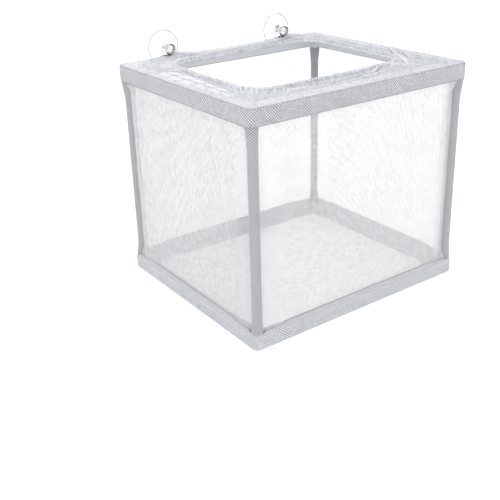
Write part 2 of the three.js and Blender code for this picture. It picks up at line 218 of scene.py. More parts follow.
def node(tree, kind, inputs=None, out=0, stops=(), **settings):
    """Adds one node and gives back one of its outputs, or the node itself where out is None. An
    input is a value, a hex colour, or the socket that feeds it. stops are the places and the
    hex colours along a colour ramp."""
    made = tree.nodes.new(kind)
    for name, value in settings.items():
        setattr(made, name, value)
    for name, value in (inputs or {}).items():
        socket = made.inputs[name]
        if isinstance(value, bpy.types.NodeSocket):
            tree.links.new(value, socket)
        else:
            socket.default_value = linear(value) if isinstance(value, str) else value
    if stops:
        band = made.color_ramp.elements
        while len(band) < len(stops):
            band.new(0.5)
        for element, (place, colour) in zip(band, stops):
            element.position = place
            element.color = linear(colour)
    return made if out is None else made.outputs[out]


def new_material(name):
    """A material with an empty tree of nodes."""
    material = bpy.data.materials.new(name)
    material.use_nodes = True
    material.node_tree.nodes.clear()
    return material, material.node_tree


NOISE_RANGE = (0.36, 0.64)


def patches(tree, size, low, high, detail=2.0):
    """Soft patches of about size millimetres, as values between low and high."""
    place = node(tree, "ShaderNodeTexCoord", out="Object")
    settings = {"Vector": place, "Scale": 1 / (size * MM), "Detail": detail}
    noise = node(tree, "ShaderNodeTexNoise", settings, out="Fac")
    least, most = NOISE_RANGE
    return node(tree, "ShaderNodeMapRange", {"Value": noise, 1: least, 2: most, 3: low, 4: high})


def tinted(tree, colour, mark, tint, strength=1.0):
    """A colour that turns to the tint where the mesh has the mark."""
    read = node(tree, "ShaderNodeAttribute", out="Fac", attribute_name=mark)
    amount = node(tree, "ShaderNodeMath", {0: read, 1: strength}, operation="MULTIPLY")
    return node(tree, "ShaderNodeMix", {"Factor": amount, 6: colour, 7: tint}, out=2, data_type="RGBA")


def bias_weave(tree, along, across, slack, weakest, strongest, rough, grain):
    """Yarns that cross on the slant: 0 in the gaps between them and 1 where two crowns meet.
    along and across are the size of a diamond in millimetres, and slack is how far the yarns
    stray. They show from weakest to strongest in patches, and rough is how uneven the cloth is,
    in specks of the size grain."""
    cloth = node(tree, "ShaderNodeUVMap", uv_map="cloth")
    stray = node(tree, "ShaderNodeTexNoise", {"Vector": cloth, "Scale": 0.25, "Detail": 2.0}, out="Color")
    stray = node(tree, "ShaderNodeVectorMath", {0: stray, 1: (0.5, 0.5, 0.5)}, operation="SUBTRACT")
    stray = node(tree, "ShaderNodeVectorMath", {0: stray, "Scale": slack}, operation="SCALE")
    place = node(tree, "ShaderNodeVectorMath", {0: cloth, 1: stray}, operation="ADD")
    total = patches(tree, grain, 0.5 - rough, 0.5 + rough, detail=4.0)
    strength = patches(tree, 14.0, weakest, strongest)
    for slant in (1, -1):
        aim = (TURN / along, slant * TURN / across, 0)
        run = node(tree, "ShaderNodeVectorMath", {0: place, 1: aim}, out="Value", operation="DOT_PRODUCT")
        wave = node(tree, "ShaderNodeMath", {0: run}, operation="SINE")
        total = node(tree, "ShaderNodeMath", {0: wave, 1: strength, 2: total}, operation="MULTIPLY_ADD")
    return total


def woven_tape(name, weave, weakest, strongest):
    """Polyester tape, densely woven on the slant: matt, with dark gaps between pale yarns. weave
    is the width of a diamond in millimetres, larger than the real ones, so that they show."""
    material, tree = new_material(name)
    yarns = bias_weave(tree, weave, weave, 0.3, weakest, strongest, 0.18, 1.1)
    stops = ((0.0, "#3a3c41"), (0.5, "#b9bcc3"), (1.0, "#f4f5f7"))
    colour = node(tree, "ShaderNodeValToRGB", {"Fac": yarns}, stops=stops)
    dust = patches(tree, 5.0, 0.0, 0.3, detail=3.0)
    colour = node(tree, "ShaderNodeMix", {"Factor": dust, 6: colour, 7: "#b9bcc3"}, out=2, data_type="RGBA")
    # Painted light and shade: the inner mark pales the tape where it stands in shade, and the shade mark
    # paints shade on its folds and edges and darkens the sleeves all over.
    colour = tinted(tree, colour, "inner", "#f2f4f7", 0.75)
    colour = tinted(tree, colour, "shade", "#6e7073", 0.85)
    fibres = patches(tree, 0.35, 0.0, 0.3)
    height = node(tree, "ShaderNodeMath", {0: yarns, 1: fibres}, operation="ADD")
    relief = node(tree, "ShaderNodeBump", {"Height": height, "Strength": 0.5, "Distance": 0.0002})
    surface = {"Base Color": colour, "Roughness": 0.82, "Sheen Weight": 0.15, "Normal": relief}
    shader = node(tree, "ShaderNodeBsdfPrincipled", surface)
    node(tree, "ShaderNodeOutputMaterial", {"Surface": shader}, out=None)
    return material


def knitted_net():
    """Fine knitted nylon net: smooth white threads with a soft shine."""
    material, tree = new_material("knitted_nylon_net")
    uneven = patches(tree, 2.5, 0.0, 1.0, detail=3.0)
    colour = node(tree, "ShaderNodeValToRGB", {"Fac": uneven}, stops=((0.0, "#e0e2e3"), (1.0, "#f6f7f7")))
    shader = node(tree, "ShaderNodeBsdfPrincipled", {"Base Color": colour, "Roughness": 0.45})
    node(tree, "ShaderNodeOutputMaterial", {"Surface": shader}, out=None)
    return material


def gathered_net():
    """The same net laid double and gathered: its threads close up into a soft pale cloth. It is
    white on the crests, partly where the net lies doubled and partly as painted light, grey in the
    hollows as painted shade, and evenly pale over the tape, partly as painted light from above.
    Its diamonds are larger than the real ones, so that they show."""
    material, tree = new_material("gathered_nylon_net")
    yarns = bias_weave(tree, *FLAP_WEAVE, 1.6, 0.1, 0.3, 0.36, 1.5)
    doubled_net_and_painted_light = node(tree, "ShaderNodeAttribute", out="Fac", attribute_name="doubled_net_and_painted_light")
    stops = ((0.0, "#9a9da2"), (0.3, "#dadde2"), (0.6, "#eff1f5"), (0.9, "#ffffff"))
    folds = node(tree, "ShaderNodeValToRGB", {"Fac": doubled_net_and_painted_light}, stops=stops)
    cloth = tinted(tree, folds, "tape_lining_and_painted_light", "#f2f4f8")
    stops = ((0.0, "#a4a7ac"), (0.5, "#f0f1f4"), (1.0, "#ffffff"))
    knit = node(tree, "ShaderNodeValToRGB", {"Fac": yarns}, stops=stops)
    clear = node(tree, "ShaderNodeMapRange", {"Value": doubled_net_and_painted_light, 1: 0.6, 2: 0.95, 3: 1.0, 4: 0.15})
    patchy = patches(tree, 5.0, 0.5, 1.0, detail=3.0)
    strength = node(tree, "ShaderNodeMath", {0: patchy, 1: clear}, operation="MULTIPLY")
    blend = {"Factor": strength, 6: cloth, 7: knit}
    colour = node(tree, "ShaderNodeMix", blend, out=2, data_type="RGBA", blend_type="MULTIPLY")
    colour = tinted(tree, colour, "shade", "#77797a", 0.8)
    relief = node(tree, "ShaderNodeBump", {"Height": yarns, "Strength": 0.5, "Distance": 0.0003})
    surface = {"Base Color": colour, "Roughness": 0.6, "Sheen Weight": 0.2, "Normal": relief}
    shader = node(tree, "ShaderNodeBsdfPrincipled", surface)
    node(tree, "ShaderNodeOutputMaterial", {"Surface": shader}, out=None)
    return material


def sewing_thread():
    """Spun polyester sewing thread, white."""
    material, tree = new_material("polyester_thread")
    uneven = patches(tree, 0.8, 0.0, 1.0)
    colour = node(tree, "ShaderNodeValToRGB", {"Fac": uneven}, stops=((0.0, "#e4e6e9"), (1.0, "#ffffff")))
    shader = node(tree, "ShaderNodeBsdfPrincipled", {"Base Color": colour, "Roughness": 0.55})
    node(tree, "ShaderNodeOutputMaterial", {"Surface": shader}, out=None)
    return material


def clear_moulding(name, clear, slant_tint_and_reflection, thick_and_reflection, roughness, transmission, wave):
    """A clear plastic, painted darker where the eye meets its surface at a slant, partly for the longer
    path through it and partly as a painted dark reflection at its edges, and painted greyer where
    the mesh is marked as thick, partly for its depth and partly as a painted reflection of dark
    surroundings."""
    material, tree = new_material(name)
    slant = node(tree, "ShaderNodeLayerWeight", {"Blend": 0.35}, out="Facing")
    stops = ((0.0, clear), (0.55, clear), (1.0, slant_tint_and_reflection))
    sheet = node(tree, "ShaderNodeValToRGB", {"Fac": slant}, stops=stops)
    stops = ((0.0, thick_and_reflection), (0.3, thick_and_reflection), (0.8, slant_tint_and_reflection))
    solid = node(tree, "ShaderNodeValToRGB", {"Fac": slant}, stops=stops)
    ripple = patches(tree, wave, 0.0, 1.0)
    surface = {
        "Base Color": tinted(tree, sheet, "thick_and_reflection", solid),
        "Roughness": roughness,
        "IOR": 1.45,
        "Transmission Weight": transmission,
        "Normal": node(tree, "ShaderNodeBump", {"Height": ripple, "Strength": 0.1, "Distance": 0.0003}),
    }
    shader = node(tree, "ShaderNodeBsdfPrincipled", surface)
    node(tree, "ShaderNodeOutputMaterial", {"Surface": shader}, out=None)
    return material


def moulded_plastic(name, colour, dark):
    """Natural plastic, moulded: milky, half matt, with faint flow marks."""
    material, tree = new_material(name)
    flow = patches(tree, 6.0, 0.0, 1.0)
    surface = {
        "Base Color": node(tree, "ShaderNodeValToRGB", {"Fac": flow}, stops=((0.0, dark), (1.0, colour))),
        "Roughness": 0.38,
        "Normal": node(tree, "ShaderNodeBump", {"Height": flow, "Strength": 0.08, "Distance": 0.0002}),
    }
    shader = node(tree, "ShaderNodeBsdfPrincipled", surface)
    node(tree, "ShaderNodeOutputMaterial", {"Surface": shader}, out=None)
    return material


BAND_CLOTH = woven_tape("woven_polyester_tape", BAND_WEAVE, 0.26, 0.4)
SLEEVE_CLOTH = woven_tape("woven_polyester_sleeving", SLEEVE_WEAVE, 0.5, 0.75)
NET_THREAD = knitted_net()
FLAP_CLOTH = gathered_net()
STITCHING = sewing_thread()
VINYL = clear_moulding("clear_soft_vinyl", "#fdfdfd", "#3c4044", "#8e9296", 0.05, 1.0, 3.0)
CLIP_PLASTIC = clear_moulding("clear_polycarbonate", "#f2f4f5", "#8b9094", "#f2f4f5", 0.12, 0.9, 5.0)
ROD_PLASTIC = moulded_plastic("rod_polystyrene", "#f0f2f4", "#e6e9ec")
CONNECTOR_PLASTIC = moulded_plastic("connector_polypropylene", "#f4f6f7", "#eaecef")


# Round the cover

class Outline:
    """Stations round a rounded rectangle, and the place of any inset at each of them. The radii
    are those of the back, left, front and right corners as the photograph shows the box."""

    def __init__(self, half_x, half_y, radii, spacing, corner_steps, shift=0.0, fan=0.0):
        self.half = (half_x, half_y)
        self.shift = shift
        self.fan = fan
        rows = []
        for side in range(4):
            ahead = self.half[1 - side % 2]
            start = radii[side - 1] - ahead
            end = ahead - radii[side]
            count = max(2, round((end - start) / spacing))
            for step in range(count):
                rows.append((side, start + (end - start) * step / count, 0.0))
            for step in range(corner_steps):
                rows.append((side, end, QUARTER * step / corner_steps))
        side, along, turn = zip(*rows)
        self.side = np.array(side)
        self.along = np.array(along)
        self.turn = np.array(turn)
        self.radius = self.nearest(radii)
        self.draw_in = np.zeros(len(rows))

    def nearest(self, radii):
        """For each station, the radius of the corner that it is nearest to."""
        radii = np.array(radii)
        return np.where(self.along >= 0, radii[self.side], radii[self.side - 1])

    def spans(self):
        """How far out each station's side lies, and how far its corners lie along it."""
        even = self.side % 2 == 0
        return np.where(even, *self.half), np.where(even, *self.half[::-1])

    def place(self, inset):
        """Points (stations, insets, 2) at the insets given, one list for all or one for each."""
        inset = np.broadcast_to(inset, (len(self.side), np.shape(inset)[-1]))
        inset = inset + self.draw_in[:, None]
        across, ahead = (x[:, None] for x in self.spans())
        radius = self.radius[:, None]
        bend = np.maximum(radius - inset, TIGHTEST_BEND)
        along = self.along[:, None]
        edge = ahead - np.maximum(self.fan, radius)
        far = ahead - inset - bend
        beyond = np.clip((np.abs(along) - edge) / np.maximum(ahead - radius - edge, TINY), 0, 1)
        held = np.sign(along) * (edge + beyond * (far - edge))
        straight = np.where(np.abs(along) > edge, held, along)
        turn = self.turn[:, None]
        out = across - inset - bend + bend * np.cos(turn)
        run = np.where(turn > 0, far + bend * np.sin(turn), straight)
        angle = self.side[:, None] * QUARTER
        x = out * np.cos(angle) - run * np.sin(angle)
        y = out * np.sin(angle) + run * np.cos(angle) + self.shift
        return np.stack([x, y], -1)

    def length(self):
        """How far round each station is, and the whole way round."""
        points = self.place([0.0])[:, 0]
        steps = np.linalg.norm(np.roll(points, -1, 0) - points, axis=1)
        return np.concatenate([[0], np.cumsum(steps)])[:-1], steps.sum()

    def from_corner(self):
        """Distance of each station from the nearest corner of the rectangle."""
        return np.where(self.turn > 0, 0, self.spans()[1] - np.abs(self.along))

    def match(self, half_x, half_y, radius):
        """The places, on another rounded rectangle about the origin, of the same stations."""
        other = Outline(half_x, half_y, [radius] * 4, MM, 2)
        other.side = self.side
        other.turn = self.turn
        other.draw_in = np.zeros(len(self.side))
        other.along = self.along / (self.spans()[1] - self.radius) * (other.spans()[1] - radius)
        other.radius = np.full(len(self.side), radius)
        return other.place([0.0])[:, 0]


STRAIGHT_STEPS = 7
ARC_STEPS = 4


def rounded_path(corners):
    """Points along a path whose corners are (inset, rise, radius), as many on each stretch."""
    at = [np.array(corner[:2]) for corner in corners]
    line = [at[0]]
    for k in range(1, len(at) - 1):
        back = at[k - 1] - at[k]
        ahead = at[k + 1] - at[k]
        back = back / np.linalg.norm(back)
        ahead = ahead / np.linalg.norm(ahead)
        half = math.acos(np.clip(back @ ahead, -1, 1)) / 2
        middle = at[k] + (back + ahead) / np.linalg.norm(back + ahead) * corners[k][2] / math.sin(half)
        start = at[k] + back * corners[k][2] / math.tan(half)
        end = at[k] + ahead * corners[k][2] / math.tan(half)
        line.extend(np.linspace(line[-1], start, STRAIGHT_STEPS + 1)[1:])
        for share in np.linspace(0, 1, ARC_STEPS + 1)[1:]:
            spoke = (start - middle) * (1 - share) + (end - middle) * share
            line.append(middle + spoke / np.linalg.norm(spoke) * corners[k][2])
    line.extend(np.linspace(line[-1], at[-1], STRAIGHT_STEPS + 1)[1:])
    return np.array(line)


def corner_column(k):
    """The column of a rounded path in the middle of its corner number k."""
    return (STRAIGHT_STEPS + ARC_STEPS) * k - ARC_STEPS // 2


def bow(x, y, most):
    """How far the cloth is drawn in between two corners, most in the middle of a side."""
    share_x = 1 - np.clip(np.abs(x) / HALF_X, 0, 1) ** 2
    share_y = 1 - np.clip(np.abs(y) / HALF_Y, 0, 1) ** 2
    return most * np.maximum(share_x, share_y)


def clip_lift(x, y):
    """How far the stems of the clips push the cloth up, mostly to one side of each clip."""
    total = 0
    for clip in (-CLIP_X, CLIP_X):
        total = total + hump(x - clip - 8 * MM, 11 * MM) * 1.9 * MM
        total = total + hump(x - clip - MM, 5 * MM) * hump(y - FRAME_Y, 5 * MM) * 0.35 * MM
    return total * smooth(0.62, 0.88, y / HALF_Y)


def whole_turns(around, pitch):
    """How much to stretch a pattern so that it closes on itself."""
    return round(around / MM / pitch) * pitch / (around / MM)


SLIT_Y = FRAME_Y + 0.6 * MM
SLIT_HALF = (2.4 * MM, 3.1 * MM)
SLIT_CORE = 0.75
SLIT_REACH = 1.6


def open_slit(flat, faces, centre, half, within):
    """Opens a rounded hole in a sheet: drops the faces inside it and draws the cut edge tidy.
    The points up to SLIT_REACH times its size away make room for it."""
    offset = (flat - np.array(centre)) / np.array(half)
    reach = np.linalg.norm(offset, axis=1)
    dropped = within & (reach < SLIT_CORE)
    keep = ~dropped[faces].any(1)
    edge = np.unique(faces[~keep])
    drawn_out = 1 + (reach - SLIT_CORE) * (SLIT_REACH - 1) / (SLIT_REACH - SLIT_CORE)
    wanted = np.where(reach < SLIT_REACH, drawn_out, reach)
    wanted[edge] = np.where(dropped[edge], wanted[edge], 1.0)
    moved = within & ~dropped & (reach < SLIT_REACH)
    scale = np.where(moved, wanted / np.maximum(reach, TINY), 1)[:, None]
    return np.array(centre) + (flat - np.array(centre)) * scale, faces[keep]


def drop_loose(points, faces, *others):
    """Removes points that no face uses."""
    used = np.unique(faces)
    order = np.zeros(len(points), int)
    order[used] = np.arange(len(used))
    return points[used], order[faces], *(np.asarray(other)[used] for other in others)


def band_points(outline, section, fold, direction, draw_in, seed):
    """Places and heights of a band's points: its section carried round the outline, drawn in
    between the corners, a little uneven, and lifted by the clips where it is the top one."""
    inset = section[..., 0]
    rise = section[..., 1]
    flat = outline.place(inset)
    run, _ = outline.length()
    drawn = bow(flat[..., 0], flat[..., 1], draw_in) * np.clip(1 - inset / CASING, 0, 1)
    soft = wander(seed, 22 * MM, flat[..., 0], flat[..., 1], rise) * 0.12 * MM
    pucker = wander(seed + 1, 3.0 * MM, run[:, None] + 0 * rise, 0.4 * rise) * 0.05 * MM
    place = outline.place(inset + drawn + np.abs(soft + pucker) * np.clip(2 - inset / MM, -1, 1))
    z = fold + direction * (rise + soft * 0.4 * smooth(0, 3 * MM, rise))
    near_top = smooth(5 * MM, 0.0, rise) if direction < 0 else 0
    return place, z + clip_lift(place[..., 0], place[..., 1]) * near_top


def tape_band(name, fold, direction, sections, draw_in, seed, shaded, painted_light):
    """A tape folded over the rods all round. Each section is its shape from a distance to a
    distance from the corner, as (inset, height from the fold, radius). shaded gives the painted
    shade at some corners of its section, and the last argument how much lighter its outer side
    and its inner side are painted, where they stand in shade."""
    lines = [rounded_path(path) for _, path in sections]
    outline = Outline(HALF_X, HALF_Y, [CORNER_RADIUS] * 4, STATION, CORNER_STATIONS, fan=13 * MM)
    section = np.broadcast_to(lines[0], (len(outline.side), *lines[0].shape)).copy()
    for (reach, _), before, after in zip(sections[1:], lines, lines[1:]):
        section += smooth(*reach, outline.from_corner())[:, None, None] * (after - before)
    rise = section[..., 1]
    steps = np.linalg.norm(np.diff(section, axis=1), axis=-1)
    across = np.concatenate([np.zeros((len(steps), 1)), np.cumsum(steps, 1)], 1)
    run, around = outline.length()
    place, z = band_points(outline, section, fold, direction, draw_in, seed)
    faces = ring_faces(*rise.shape, close_rows=True)
    shade = np.zeros(rise.shape)
    for k, dark in shaded.items():
        shade[:, corner_column(k) if k else 0] = dark
    # Painted light: lighter where the band stands in shade, its outer side by the first value and its inner
    # side by the second.
    inner = np.full(rise.shape, painted_light[0])
    inner[:, corner_column(3):] = painted_light[1]
    place = place.reshape(-1, 2)
    if direction < 0:
        top = (rise < 1.2 * MM).ravel()
        for x in (-CLIP_X, CLIP_X):
            place, faces = open_slit(place, faces, (x, SLIT_Y), SLIT_HALF, top)
    else:
        faces = faces[:, ::-1]
    scale = whole_turns(around, BAND_WEAVE)
    uv = np.stack([np.broadcast_to(run[:, None] * scale, across.shape), across], -1) / MM
    points = np.concatenate([place, z.reshape(-1, 1)], 1)
    points, faces, uv, shade, inner = drop_loose(
        points, faces, uv.reshape(-1, 2), shade.ravel(), inner.ravel()
    )
    marks = {"shade": shade, "inner": inner}
    piece = make_piece(name + "_cloth", points, faces, BAND_CLOTH, uv, around * scale / MM, marks)
    thicken(piece, TAPE)
    fit(piece, "woven_tape", name)
    return piece, (across[:, -1].mean(), around)


def threads(lines, radius, sides):
    """Round threads along lines of points. lines is (threads, points, 3)."""
    lines = np.asarray(lines, float)
    many, count = lines.shape[:2]
    ahead = np.gradient(lines, axis=1)
    ahead /= np.linalg.norm(ahead, axis=-1, keepdims=True)
    guide = np.zeros(3)
    guide[np.argmin(np.abs(ahead).mean((0, 1)))] = 1
    side = np.cross(ahead, guide)
    side /= np.linalg.norm(side, axis=-1, keepdims=True)
    up = np.cross(side, ahead)
    points = []
    for k in range(sides):
        angle = TURN * k / sides
        points.append(lines + radius * (math.cos(angle) * side + math.sin(angle) * up))
    points = np.stack(points, 2).reshape(-1, 3)
    one = ring_faces(count, sides, close_columns=True)[:, ::-1].tolist()
    first = list(range(sides))
    last = [sides * (count - 1) + k for k in range(sides)]
    one = one + [first, last[::-1]]
    step = sides * count
    faces = [[corner + k * step for corner in face] for k in range(many) for face in one]
    return points, faces


def stitch_row(name, points, out, slot, length, radius):
    """A row of short stitches along a closed line of points, each a little arched thread."""
    steps = np.linalg.norm(np.roll(points, -1, 0) - points, axis=1)
    run = np.concatenate([[0], np.cumsum(steps)])
    many = int(run[-1] / (length * 1.4))
    closed = np.concatenate([points, points[:1]])
    closed_out = np.concatenate([out, out[:1]])
    lines = []
    for k in range(many):
        at = np.minimum(run[-1] * k / many + np.linspace(0, length, 6), run[-1])
        spot = np.stack([np.interp(at, run, closed[:, c]) for c in range(3)], -1)
        lift = np.stack([np.interp(at, run, closed_out[:, c]) for c in range(3)], -1)
        arch = np.sin(np.linspace(0, math.pi, 6))[:, None] * radius * 1.6 - radius * 0.6
        lines.append(spot + lift * arch)
    cloth, faces = threads(np.array(lines), radius, sides=6)
    return fit(make_piece(name, cloth, faces, STITCHING), slot)


LOW_DRAW = 0.15 * MM
HIGH_DRAW = 0.3 * MM
half_tape = TAPE / 2
low_bend = (half_tape, 7.6 * MM, 3 * MM)
low_fold = (half_tape, half_tape, 0.8 * MM)
low_shapes = [
    (
        None,
        [
            (0.95 * MM, 10 * MM, 0),
            low_bend,
            low_fold,
            (9.0 * MM, half_tape, 1.2 * MM),
            (8.9 * MM, 4.5 * MM, MM),
            (8.7 * MM, 6.8 * MM, 0),
        ],
    ),
    (
        (6 * MM, 9 * MM),
        [
            (1.15 * MM, 10.9 * MM, 0),
            low_bend,
            low_fold,
            (8.4 * MM, half_tape, 1.2 * MM),
            (8.7 * MM, 7.6 * MM, 2.4 * MM),
            (1.55 * MM, 10.7 * MM, 0),
        ],
    ),
    (
        (17 * MM, 24 * MM),
        [
            (1.15 * MM, 11.9 * MM, 0),
            low_bend,
            low_fold,
            (7.3 * MM, half_tape, 1.2 * MM),
            (7.7 * MM, 7.6 * MM, 2.4 * MM),
            (1.55 * MM, 11.7 * MM, 0),
        ],
    ),
]
bottom_band, bottom_cut = tape_band(
    "bottom_band", 0.0, 1, low_shapes, LOW_DRAW, 11, {2: 0.3}, (0.16, 0.4)
)

FOLD = TOP - 0.65 * MM
under = FOLD - TOP_UNDER

# The second corner is all but straight. It only gives the side more rows of points.
NEARLY_STRAIGHT = 0.01 * MM
outer_high = [
    (half_tape, under, 0),
    (half_tape + NEARLY_STRAIGHT, 4 * MM, 2 * MM),
    (half_tape, 0.0, 0.9 * MM),
    (9.2 * MM, 0.0, MM),
]
high_shapes = [
    (None, outer_high + [(9.1 * MM, 5 * MM, MM), (8.9 * MM, 7.5 * MM, 0)]),
    ((8 * MM, 12.5 * MM), outer_high + [(8.9 * MM, 7.6 * MM, 1.6 * MM), (1.9 * MM, 7.9 * MM, 0)]),
]
top_band, top_cut = tape_band(
    "top_band", FOLD, -1, high_shapes, HIGH_DRAW, 23, {0: 0.75, 4: 0.8}, (0.0, 1.0)
)


def band_stitches(name, inset, z, draw_in, length, radius, upward):
    """Top stitching along a band, a line of short white threads. upward is 1 where they lie on
    its top and 0 on its side."""
    outline = Outline(HALF_X, HALF_Y, [CORNER_RADIUS] * 4, STATION, CORNER_STATIONS)
    flat = outline.place([inset])[:, 0]
    flat = outline.place((inset + bow(flat[:, 0], flat[:, 1], draw_in))[:, None])[:, 0]
    beyond = outline.place([inset - MM])[:, 0] - outline.place([inset])[:, 0]
    level = beyond / np.linalg.norm(beyond, axis=1)[:, None] * (1 - upward)
    out = np.concatenate([level, np.full((len(level), 1), upward)], 1)
    height = z + clip_lift(flat[:, 0], flat[:, 1]) * upward
    points = np.concatenate([flat, height[:, None]], 1)
    return stitch_row(name, points, out, "woven_tape", length, radius)


low_stitches = band_stitches(
    "bottom_band_stitches", 0.1 * MM, BOTTOM_HEIGHT - 2.2 * MM, LOW_DRAW, 1.5 * MM, 0.13 * MM, 0.0
)
fold_stitches = band_stitches(
    "top_fold_stitches", 1.1 * MM, TOP - 0.3 * MM, HIGH_DRAW, 1.3 * MM, 0.2 * MM, 1.0
)


# Sleeves

ENDS = (("front", -1), ("back", 1))
SIDES = (("left", -1), ("right", 1))
SLEEVE_RADII = {
    "sleeve_front_left": (2.8 * MM, 2.9 * MM),
    "sleeve_front_right": (3.15 * MM, 2.85 * MM),
    "sleeve_back_left": (2.65 * MM, 2.6 * MM),
    "sleeve_back_right": (2.7 * MM, 2.65 * MM),
}
SOCKET_SLEEVE_RADIUS = 3.35 * MM
SLEEVE_WALL = TAPE * 0.7
SLEEVE_SIDES = 48
SLEEVE_ROWS = 110


def sleeve_shape(name, z):
    """Radius of a sleeve at a height, and how far the nets pull it towards its corner."""
    lowest, highest = SLEEVE_RADII[name]
    spread = 1 - smooth(9 * MM, 18 * MM, z) + smooth(115 * MM, 128 * MM, z)
    radius = lowest + (highest - lowest) * z / TOP
    return radius + (SOCKET_SLEEVE_RADIUS - radius) * spread, 0.6 * MM + 0.5 * MM * spread


def tape_sleeve(name, side_x, side_y, seed):
    """A tape sewn into a tube round an upright rod. It spreads over the sockets at its ends."""
    low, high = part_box(name)
    z = np.linspace(low.z, high.z, SLEEVE_ROWS)[:, None]
    angle = np.linspace(0, TURN, SLEEVE_SIDES, endpoint=False)[None, :]
    radius, lean = sleeve_shape(name, z)
    mean = sum(SLEEVE_RADII[name]) / 2
    arc = angle * mean
    uneven = 0.05 * MM * wander(seed, 9 * MM, z + 0 * arc, 2 * np.sin(angle) * mean)
    radius = radius - SLEEVE_WALL / 2 + uneven
    seam = math.atan2(-side_y, -side_x)
    turned_by = (angle - seam + math.pi) % TURN - math.pi
    radius = radius + 0.35 * MM * hump(turned_by, 0.16)
    pull = lean * (1 + np.cos(angle - math.atan2(side_y, side_x))) / 2
    x = side_x * (FRAME_X + pull) + radius * np.cos(angle)
    y = side_y * (FRAME_Y + pull) + radius * np.sin(angle)
    points = np.stack([x, y, z + 0 * angle], -1).reshape(-1, 3)
    faces = ring_faces(SLEEVE_ROWS, SLEEVE_SIDES, close_columns=True)[:, ::-1]
    around = TURN * mean
    scale = whole_turns(around, SLEEVE_WEAVE)
    uv = np.stack(np.broadcast_arrays(arc * scale / MM, z / MM), -1).reshape(-1, 2)
    marks = {"shade": np.full(len(points), 0.22)}
    piece = make_piece(name + "_cloth", points, faces, SLEEVE_CLOTH, uv, around * scale / MM, marks)
    thicken(piece, SLEEVE_WALL)
    fit(piece, "woven_tape", name)


for end, side_y in ENDS:
    for side, side_x in SIDES:
        tape_sleeve(f"sleeve_{end}_{side}", side_x, side_y, 31 + 2 * side_x + side_y)


# Net

STRAY_ACROSS = 0.15
STRAY_UP = 0.17


def net_piece(name, place, wide, tall, seed):
    """A knitted net built from its threads. They zigzag up the panel, and each meets its two
    neighbours by turns, which makes diamond cells. The cells are 1.7 mm by 1.5 mm, coarser than
    the real ones, so that they show. place turns (across, up), from 0 to 1, into points."""
    many = round(wide / (NET_CELL / 2))
    rows = round(tall / (NET_CELL_RISE / 2))
    rng = np.random.default_rng(seed)
    stray_across = rng.normal(0, STRAY_ACROSS, (many + 1, rows + 1))
    stray_up = rng.normal(0, STRAY_UP, (many + 1, rows + 1))
    thread = np.arange(many)[:, None] + np.zeros((1, rows + 1), int)
    row = np.arange(rows + 1)[None, :] + np.zeros((many, 1), int)
    lean = np.where((thread + row) % 2, 1, -1)
    joint = thread + (lean > 0)
    beside = 0.5 - 0.45 * THREAD / NET_CELL
    across = thread + 0.5 + lean * beside + stray_across[joint, row]
    up = row + stray_up[joint, row]
    lines = place(np.clip(across / many, 0, 1), np.clip(up / rows, 0, 1))
    points, faces = threads(lines, THREAD / 2, sides=3)
    piece = make_piece(name + "_threads", points, faces, NET_THREAD, shade=False)
    fit(piece, "knitted_net", name)


def side_net(name, turn, half_across, half_out, ends, seed):
    """An upright panel on the face that turn quarter turns from +X points out of. ends are the
    sleeves that it is sewn to."""
    low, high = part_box(name)
    tall = high.z - low.z

    def place(across, up):
        z = low.z + tall * up
        share = 2 * across - 1
        first, second = (sleeve_shape(sleeve, z)[0] for sleeve in ends)
        sleeve = first + (second - first) * across
        drawn_out = smooth(18 * MM, 11 * MM, z) + smooth(TOP_UNDER - 7 * MM, TOP_UNDER, z)
        round_sleeve = math.radians(20) + math.radians(40) * drawn_out
        reach = half_across - ROD_INSET - np.cos(round_sleeve) * sleeve
        sewn = ROD_INSET - np.sin(round_sleeve) * sleeve
        inset = NET_INSET + (sewn - NET_INSET) * smooth(0.84, 1.0, np.abs(share))
        inset = inset + (1 - share ** 2) * (0.8 * MM * (1 - z / TOP) + 0.3 * MM * z / TOP)
        slack = wander(seed + 5, 60 * MM, share * half_across, z) * 0.35 * MM
        held = smooth(0, 0.14, up) * smooth(0, 0.14, 1 - up) * smooth(0, 0.1, 1 - np.abs(share))
        out = half_out - inset + slack * held
        run = share * reach
        x = out * math.cos(turn * QUARTER) - run * math.sin(turn * QUARTER)
        y = out * math.sin(turn * QUARTER) + run * math.cos(turn * QUARTER)
        return np.stack([x, y, z], -1)

    wide = 2 * (half_across - ROD_INSET - 2.6 * MM)
    net_piece(name, place, wide, tall, seed)


side_net("net_right", 0, HALF_Y, HALF_X, ("sleeve_front_right", "sleeve_back_right"), 41)
side_net("net_back", 1, HALF_X, HALF_Y, ("sleeve_back_right", "sleeve_back_left"), 43)
side_net("net_left", 2, HALF_Y, HALF_X, ("sleeve_back_left", "sleeve_front_left"), 45)
side_net("net_front", 3, HALF_X, HALF_Y, ("sleeve_front_left", "sleeve_front_right"), 47)


def floor_net():
    """The net floor, a little slack between the bottom rods."""
    low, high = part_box("net_floor")
    grow = 1.6 * MM

    def place(across, up):
        x = (low.x - grow) + (high.x - low.x + 2 * grow) * across
        y = (low.y - grow) + (high.y - low.y + 2 * grow) * up
        slack = (wander(71, 55 * MM, x, y) + 1) * 0.25 * MM
        z = (low.z + high.z) / 2 + 0.2 * MM + slack
        return np.stack([x, y, z], -1)

    wide = high.x - low.x + 2 * grow
    net_piece("net_floor", place, wide, high.y - low.y + 2 * grow, 73)


floor_net()


# Flap, hem and elastic

